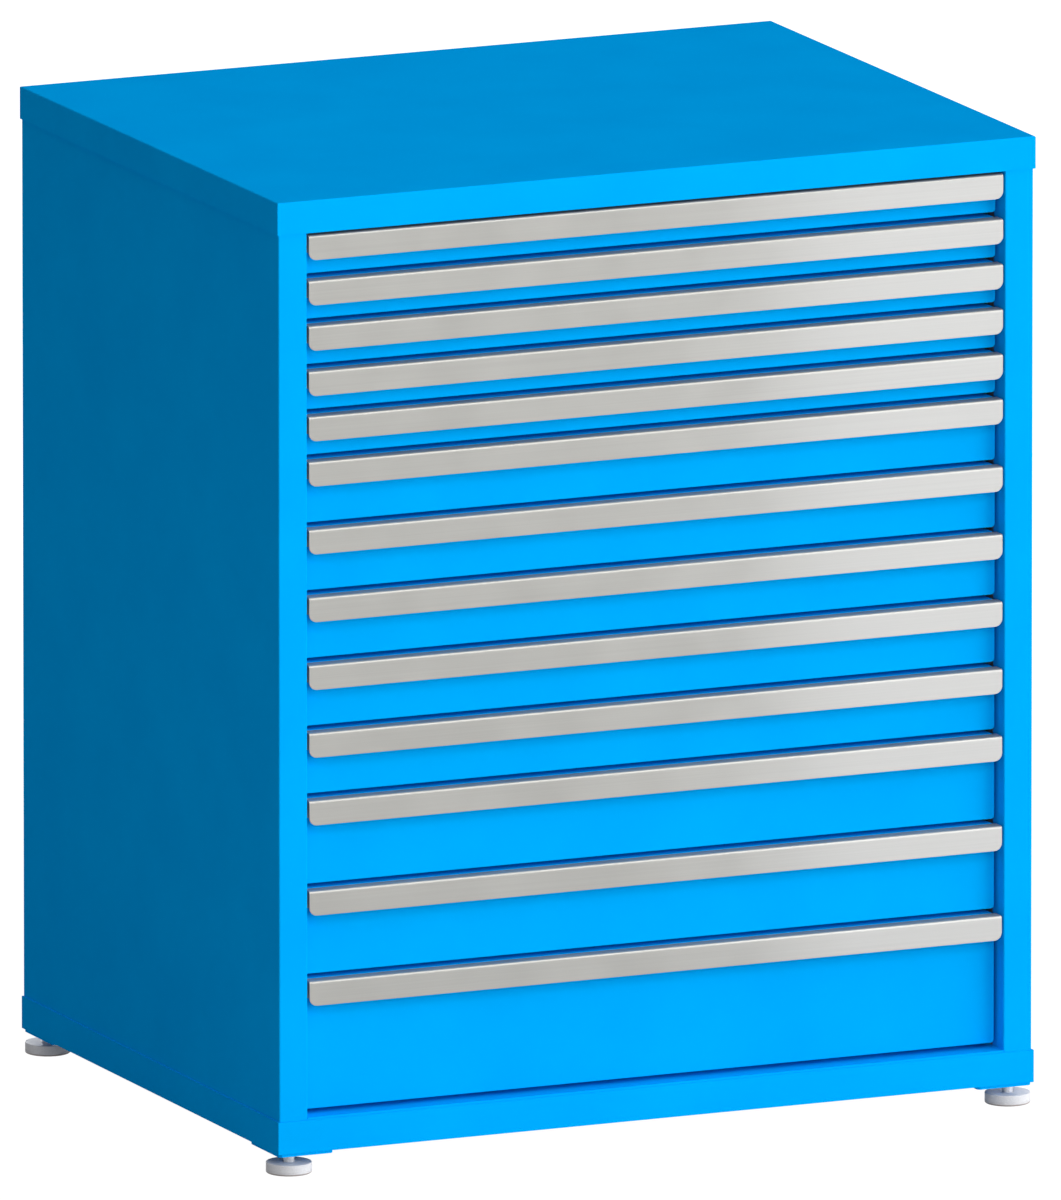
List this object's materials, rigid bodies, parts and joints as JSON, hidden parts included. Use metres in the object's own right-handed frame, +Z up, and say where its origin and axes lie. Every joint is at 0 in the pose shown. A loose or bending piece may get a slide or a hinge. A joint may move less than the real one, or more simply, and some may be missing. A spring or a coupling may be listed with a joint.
{
  "type": "modular drawer cabinet",
  "caption": "Free-standing modular drawer cabinet: folded steel housing on levelling feet, full-width drawers of graded heights with flush pulls and telescopic slides.",
  "frame": {"origin": "on the floor, under the centre of the cabinet: the centre of the bottom of its bounding box", "axes": "+Z up, +X to the viewer's right when the viewer faces the drawers, +Y to the back; the drawers open towards -Y"},
  "size_m": [0.9212, 0.718, 1.095],
  "materials": {
    "blue_paint": "satin powder coat",
    "brushed_aluminium": "brushed along its length, clear anodised",
    "zinc_steel": "zinc plated",
    "foot_pad": "moulded",
    "stud_steel": "bright zinc"
  },
  "bodies": {
    "cabinet": {"top_cover": "blue_paint", "base_frame": "blue_paint", "floor_pan": "blue_paint", "back_panel": "blue_paint", "left_side_panel": "blue_paint", "right_side_panel": "blue_paint", "front_left_upright": "zinc_steel", "front_right_upright": "zinc_steel", "rear_left_upright": "zinc_steel", "rear_right_upright": "zinc_steel", "left_fixed_rails": "zinc_steel", "right_fixed_rails": "zinc_steel", "corner_brackets": "blue_paint"},
    "foot_front_left": {"foot_pad_front_left": "foot_pad", "foot_stud_front_left": "stud_steel"},
    "foot_front_right": {"foot_pad_front_right": "foot_pad", "foot_stud_front_right": "stud_steel"},
    "foot_rear_left": {"foot_pad_rear_left": "foot_pad", "foot_stud_rear_left": "stud_steel"},
    "foot_rear_right": {"foot_pad_rear_right": "foot_pad", "foot_stud_rear_right": "stud_steel"},
    "drawer_01": {"drawer_01_box": "blue_paint", "drawer_01_handle": "brushed_aluminium"},
    "carriages_01": {"drawer_01_carriages": "zinc_steel"},
    "drawer_02": {"drawer_02_box": "blue_paint", "drawer_02_handle": "brushed_aluminium"},
    "carriages_02": {"drawer_02_carriages": "zinc_steel"},
    "drawer_03": {"drawer_03_box": "blue_paint", "drawer_03_handle": "brushed_aluminium"},
    "carriages_03": {"drawer_03_carriages": "zinc_steel"},
    "drawer_04": {"drawer_04_box": "blue_paint", "drawer_04_handle": "brushed_aluminium"},
    "carriages_04": {"drawer_04_carriages": "zinc_steel"},
    "drawer_05": {"drawer_05_box": "blue_paint", "drawer_05_handle": "brushed_aluminium"},
    "carriages_05": {"drawer_05_carriages": "zinc_steel"},
    "drawer_06": {"drawer_06_box": "blue_paint", "drawer_06_handle": "brushed_aluminium"},
    "carriages_06": {"drawer_06_carriages": "zinc_steel"},
    "drawer_07": {"drawer_07_box": "blue_paint", "drawer_07_handle": "brushed_aluminium"},
    "carriages_07": {"drawer_07_carriages": "zinc_steel"},
    "drawer_08": {"drawer_08_box": "blue_paint", "drawer_08_handle": "brushed_aluminium"},
    "carriages_08": {"drawer_08_carriages": "zinc_steel"},
    "drawer_09": {"drawer_09_box": "blue_paint", "drawer_09_handle": "brushed_aluminium"},
    "carriages_09": {"drawer_09_carriages": "zinc_steel"},
    "drawer_10": {"drawer_10_box": "blue_paint", "drawer_10_handle": "brushed_aluminium"},
    "carriages_10": {"drawer_10_carriages": "zinc_steel"},
    "drawer_11": {"drawer_11_box": "blue_paint", "drawer_11_handle": "brushed_aluminium"},
    "carriages_11": {"drawer_11_carriages": "zinc_steel"},
    "drawer_12": {"drawer_12_box": "blue_paint", "drawer_12_handle": "brushed_aluminium"},
    "carriages_12": {"drawer_12_carriages": "zinc_steel"},
    "drawer_13": {"drawer_13_box": "blue_paint", "drawer_13_handle": "brushed_aluminium"},
    "carriages_13": {"drawer_13_carriages": "zinc_steel"}
  },
  "joints": [
    {"name": "level_front_left", "type": "slide", "parent": "cabinet", "child": "foot_front_left", "axis": [0, 0, -1], "range_m": [-0.006, 0.02]},
    {"name": "level_front_right", "type": "slide", "parent": "cabinet", "child": "foot_front_right", "axis": [0, 0, -1], "range_m": [-0.006, 0.02]},
    {"name": "level_rear_left", "type": "slide", "parent": "cabinet", "child": "foot_rear_left", "axis": [0, 0, -1], "range_m": [-0.006, 0.02]},
    {"name": "level_rear_right", "type": "slide", "parent": "cabinet", "child": "foot_rear_right", "axis": [0, 0, -1], "range_m": [-0.006, 0.02]},
    {"name": "drawer_01_slide", "type": "slide", "parent": "cabinet", "child": "drawer_01", "axis": [0, -1, 0], "range_m": [0, 0.62]},
    {"name": "carriages_01_slide", "type": "slide", "parent": "cabinet", "child": "carriages_01", "axis": [0, -1, 0], "range_m": [0, 0.31]},
    {"name": "drawer_02_slide", "type": "slide", "parent": "cabinet", "child": "drawer_02", "axis": [0, -1, 0], "range_m": [0, 0.62]},
    {"name": "carriages_02_slide", "type": "slide", "parent": "cabinet", "child": "carriages_02", "axis": [0, -1, 0], "range_m": [0, 0.31]},
    {"name": "drawer_03_slide", "type": "slide", "parent": "cabinet", "child": "drawer_03", "axis": [0, -1, 0], "range_m": [0, 0.62]},
    {"name": "carriages_03_slide", "type": "slide", "parent": "cabinet", "child": "carriages_03", "axis": [0, -1, 0], "range_m": [0, 0.31]},
    {"name": "drawer_04_slide", "type": "slide", "parent": "cabinet", "child": "drawer_04", "axis": [0, -1, 0], "range_m": [0, 0.62]},
    {"name": "carriages_04_slide", "type": "slide", "parent": "cabinet", "child": "carriages_04", "axis": [0, -1, 0], "range_m": [0, 0.31]},
    {"name": "drawer_05_slide", "type": "slide", "parent": "cabinet", "child": "drawer_05", "axis": [0, -1, 0], "range_m": [0, 0.62]},
    {"name": "carriages_05_slide", "type": "slide", "parent": "cabinet", "child": "carriages_05", "axis": [0, -1, 0], "range_m": [0, 0.31]},
    {"name": "drawer_06_slide", "type": "slide", "parent": "cabinet", "child": "drawer_06", "axis": [0, -1, 0], "range_m": [0, 0.62]},
    {"name": "carriages_06_slide", "type": "slide", "parent": "cabinet", "child": "carriages_06", "axis": [0, -1, 0], "range_m": [0, 0.31]},
    {"name": "drawer_07_slide", "type": "slide", "parent": "cabinet", "child": "drawer_07", "axis": [0, -1, 0], "range_m": [0, 0.62]},
    {"name": "carriages_07_slide", "type": "slide", "parent": "cabinet", "child": "carriages_07", "axis": [0, -1, 0], "range_m": [0, 0.31]},
    {"name": "drawer_08_slide", "type": "slide", "parent": "cabinet", "child": "drawer_08", "axis": [0, -1, 0], "range_m": [0, 0.62]},
    {"name": "carriages_08_slide", "type": "slide", "parent": "cabinet", "child": "carriages_08", "axis": [0, -1, 0], "range_m": [0, 0.31]},
    {"name": "drawer_09_slide", "type": "slide", "parent": "cabinet", "child": "drawer_09", "axis": [0, -1, 0], "range_m": [0, 0.62]},
    {"name": "carriages_09_slide", "type": "slide", "parent": "cabinet", "child": "carriages_09", "axis": [0, -1, 0], "range_m": [0, 0.31]},
    {"name": "drawer_10_slide", "type": "slide", "parent": "cabinet", "child": "drawer_10", "axis": [0, -1, 0], "range_m": [0, 0.62]},
    {"name": "carriages_10_slide", "type": "slide", "parent": "cabinet", "child": "carriages_10", "axis": [0, -1, 0], "range_m": [0, 0.31]},
    {"name": "drawer_11_slide", "type": "slide", "parent": "cabinet", "child": "drawer_11", "axis": [0, -1, 0], "range_m": [0, 0.62]},
    {"name": "carriages_11_slide", "type": "slide", "parent": "cabinet", "child": "carriages_11", "axis": [0, -1, 0], "range_m": [0, 0.31]},
    {"name": "drawer_12_slide", "type": "slide", "parent": "cabinet", "child": "drawer_12", "axis": [0, -1, 0], "range_m": [0, 0.62]},
    {"name": "carriages_12_slide", "type": "slide", "parent": "cabinet", "child": "carriages_12", "axis": [0, -1, 0], "range_m": [0, 0.31]},
    {"name": "drawer_13_slide", "type": "slide", "parent": "cabinet", "child": "drawer_13", "axis": [0, -1, 0], "range_m": [0, 0.62]},
    {"name": "carriages_13_slide", "type": "slide", "parent": "cabinet", "child": "carriages_13", "axis": [0, -1, 0], "range_m": [0, 0.31]}
  ],
  "couplings": [
    {"joint": "carriages_01_slide", "follows": "drawer_01_slide", "ratio": 0.5},
    {"joint": "carriages_02_slide", "follows": "drawer_02_slide", "ratio": 0.5},
    {"joint": "carriages_03_slide", "follows": "drawer_03_slide", "ratio": 0.5},
    {"joint": "carriages_04_slide", "follows": "drawer_04_slide", "ratio": 0.5},
    {"joint": "carriages_05_slide", "follows": "drawer_05_slide", "ratio": 0.5},
    {"joint": "carriages_06_slide", "follows": "drawer_06_slide", "ratio": 0.5},
    {"joint": "carriages_07_slide", "follows": "drawer_07_slide", "ratio": 0.5},
    {"joint": "carriages_08_slide", "follows": "drawer_08_slide", "ratio": 0.5},
    {"joint": "carriages_09_slide", "follows": "drawer_09_slide", "ratio": 0.5},
    {"joint": "carriages_10_slide", "follows": "drawer_10_slide", "ratio": 0.5},
    {"joint": "carriages_11_slide", "follows": "drawer_11_slide", "ratio": 0.5},
    {"joint": "carriages_12_slide", "follows": "drawer_12_slide", "ratio": 0.5},
    {"joint": "carriages_13_slide", "follows": "drawer_13_slide", "ratio": 0.5}
  ]
}
